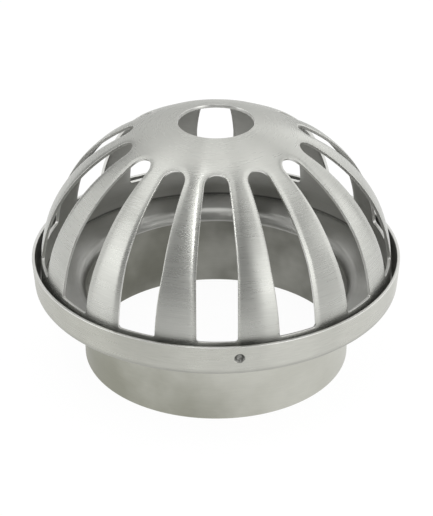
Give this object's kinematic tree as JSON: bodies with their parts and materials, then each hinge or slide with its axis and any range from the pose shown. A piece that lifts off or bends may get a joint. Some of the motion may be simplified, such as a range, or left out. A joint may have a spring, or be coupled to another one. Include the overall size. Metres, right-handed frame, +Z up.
{
  "type": "roof drain",
  "caption": "Pressed stainless roof drain: round pan with upright rim and spigot, with a slotted dome strainer standing in it.",
  "frame": {"origin": "centre of the spigot's open lower end, which stands on Z = 0", "axes": "+Z up along the drain's axis; -Y is the front, faced by one slot of the dome"},
  "size_m": [0.145, 0.145, 0.1004],
  "materials": {
    "base_steel": "satin, drawn and lightly polished stainless sheet",
    "dome_steel": "satin, brushed round the dome, with bright deburred slot edges"
  },
  "bodies": {
    "root": {"drain_base": "base_steel", "dome_strainer": "dome_steel"}
  },
  "joints": []
}
